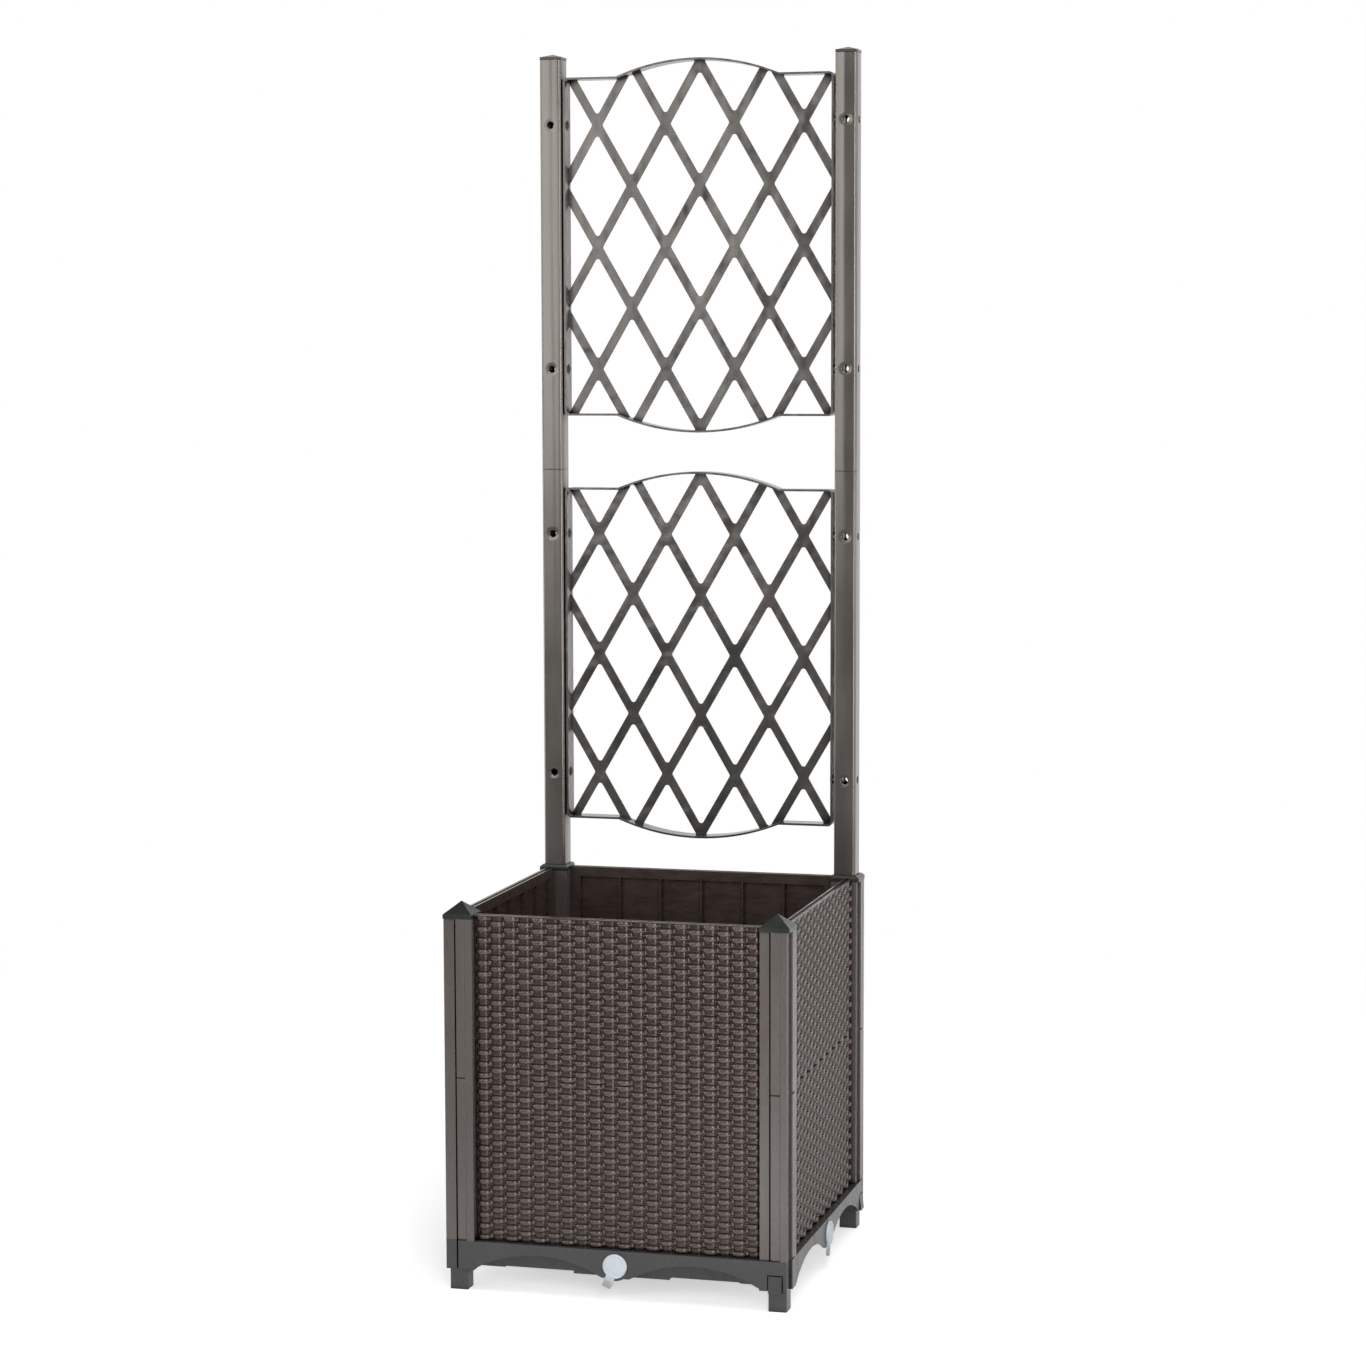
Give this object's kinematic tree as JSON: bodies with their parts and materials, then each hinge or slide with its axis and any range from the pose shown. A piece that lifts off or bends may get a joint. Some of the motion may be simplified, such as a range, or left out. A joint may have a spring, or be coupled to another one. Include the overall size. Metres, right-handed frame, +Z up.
{
  "type": "planter with trellis",
  "caption": "Square footed planter box with wicker-pattern panels between corner posts, drain plugs in its base and a diamond-lattice trellis on two tall tubes at the back.",
  "frame": {"origin": "on the floor, below the middle of the square box", "axes": "+Z up, -Y the front, +X to the right seen from the front; the trellis stands at +Y"},
  "size_m": [0.4072, 0.4072, 1.415],
  "materials": {
    "base_plastic": "satin dark brown-grey moulded plastic",
    "post_plastic": "fine-grained brown-grey moulded plastic",
    "wicker_plastic": "glossy dark brown woven relief",
    "cap_plastic": "satin dark green-grey moulded plastic",
    "plug_silicone": "pale blue-white silicone",
    "trellis_coating": "semi-gloss grey-brown metallic coating",
    "bolt_coating": "grey-brown coated bolt head",
    "nut_steel": "plated steel"
  },
  "bodies": {
    "root": {"base_tray": "base_plastic", "soil_grid": "base_plastic", "wicker_panel_lower_front": "wicker_plastic", "wicker_panel_upper_front": "wicker_plastic", "wicker_panel_lower_right": "wicker_plastic", "wicker_panel_upper_right": "wicker_plastic", "wicker_panel_lower_back": "wicker_plastic", "wicker_panel_upper_back": "wicker_plastic", "wicker_panel_lower_left": "wicker_plastic", "wicker_panel_upper_left": "wicker_plastic", "foot_front_left": "base_plastic", "post_lower_front_left": "post_plastic", "post_upper_front_left": "post_plastic", "foot_front_right": "base_plastic", "post_lower_front_right": "post_plastic", "post_upper_front_right": "post_plastic", "foot_back_right": "base_plastic", "post_lower_back_right": "post_plastic", "post_upper_back_right": "post_plastic", "foot_back_left": "base_plastic", "post_lower_back_left": "post_plastic", "post_upper_back_left": "post_plastic", "post_cap_front_left": "cap_plastic", "post_cap_front_right": "cap_plastic", "post_socket_back_right": "cap_plastic", "post_socket_back_left": "cap_plastic", "trellis_tube_lower_left": "trellis_coating", "trellis_tube_upper_left": "trellis_coating", "tube_coupler_left": "cap_plastic", "tube_cap_left": "trellis_coating", "trellis_tube_lower_right": "trellis_coating", "trellis_tube_upper_right": "trellis_coating", "tube_coupler_right": "cap_plastic", "tube_cap_right": "trellis_coating", "lattice_panel_lower": "trellis_coating", "lattice_panel_upper": "trellis_coating", "lattice_bolts": "bolt_coating", "rivet_nuts": "nut_steel"},
    "drain_plug_front": {"drain_plug_front": "plug_silicone"},
    "drain_plug_right": {"drain_plug_right": "plug_silicone"},
    "drain_plug_back": {"drain_plug_back": "plug_silicone"},
    "drain_plug_left": {"drain_plug_left": "plug_silicone"}
  },
  "joints": [
    {"name": "plug_pull_front", "type": "slide", "parent": "root", "child": "drain_plug_front", "axis": [0, -1, 0], "range_m": [0, 0.025]},
    {"name": "plug_pull_right", "type": "slide", "parent": "root", "child": "drain_plug_right", "axis": [1, 0, 0], "range_m": [0, 0.025]},
    {"name": "plug_pull_back", "type": "slide", "parent": "root", "child": "drain_plug_back", "axis": [0, 1, 0], "range_m": [0, 0.025]},
    {"name": "plug_pull_left", "type": "slide", "parent": "root", "child": "drain_plug_left", "axis": [-1, 0, 0], "range_m": [0, 0.025]}
  ]
}
